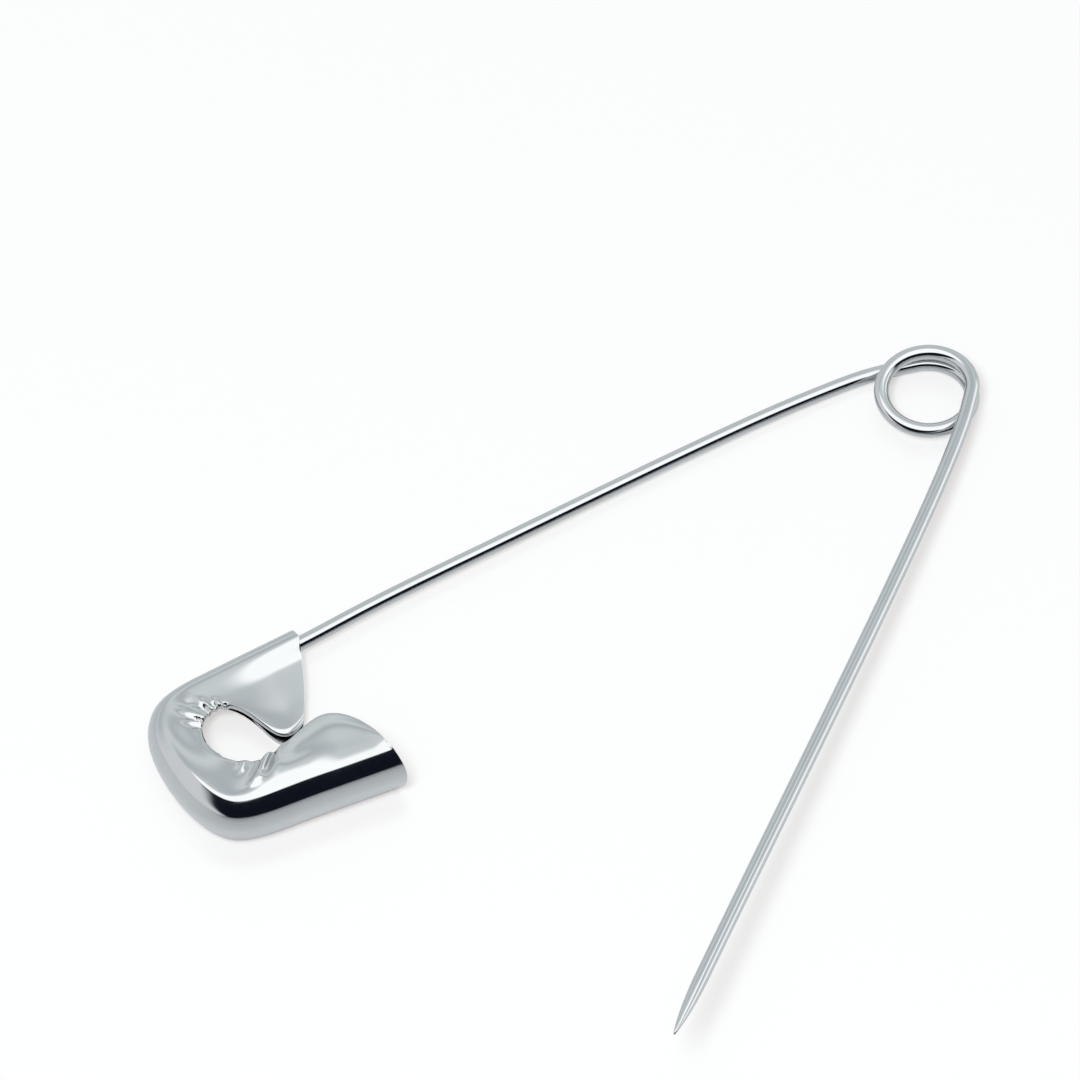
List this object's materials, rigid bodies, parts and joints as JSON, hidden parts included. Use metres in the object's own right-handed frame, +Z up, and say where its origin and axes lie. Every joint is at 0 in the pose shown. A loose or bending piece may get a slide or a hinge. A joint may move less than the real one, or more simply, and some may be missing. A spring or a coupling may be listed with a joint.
{
  "type": "safety pin",
  "caption": "Sprung wire safety pin, open at rest, with a coiled spring end, a pointed needle arm and a folded sheet metal clasp.",
  "frame": {"origin": "on the clasp's flat back face, under the middle of its flap beside the fixed arm", "axes": "+X from the clasp towards the coil, +Y from the needle's side towards the fixed arm's side, +Z up out of the clasp's back face"},
  "size_m": [0.077, 0.0573, 0.007],
  "materials": {
    "wire": "polished nickel plate on spring steel wire",
    "sheet": "polished nickel plate on steel sheet"
  },
  "bodies": {
    "frame": {"fixed_arm": "wire", "clasp": "sheet"},
    "coil": {"spring_coil": "wire"},
    "needle": {"needle_arm": "wire"}
  },
  "joints": [
    {"name": "needle_swing", "type": "hinge", "parent": "frame", "child": "coil", "pos_m": [0.0635, 0.0035, 0], "axis": [0, 0, 1], "range_deg": [-35.25, 35], "stiffness_Nm_per_rad": 0.25, "deforming": ["spring_coil"]},
    {"name": "needle_lift", "type": "hinge", "parent": "coil", "child": "needle", "pos_m": [0.06564, 0.00022, 0.00294], "axis": [-0.8007, 0.599, 0], "range_deg": [-3.5, 4], "stiffness_Nm_per_rad": 0.25}
  ]
}
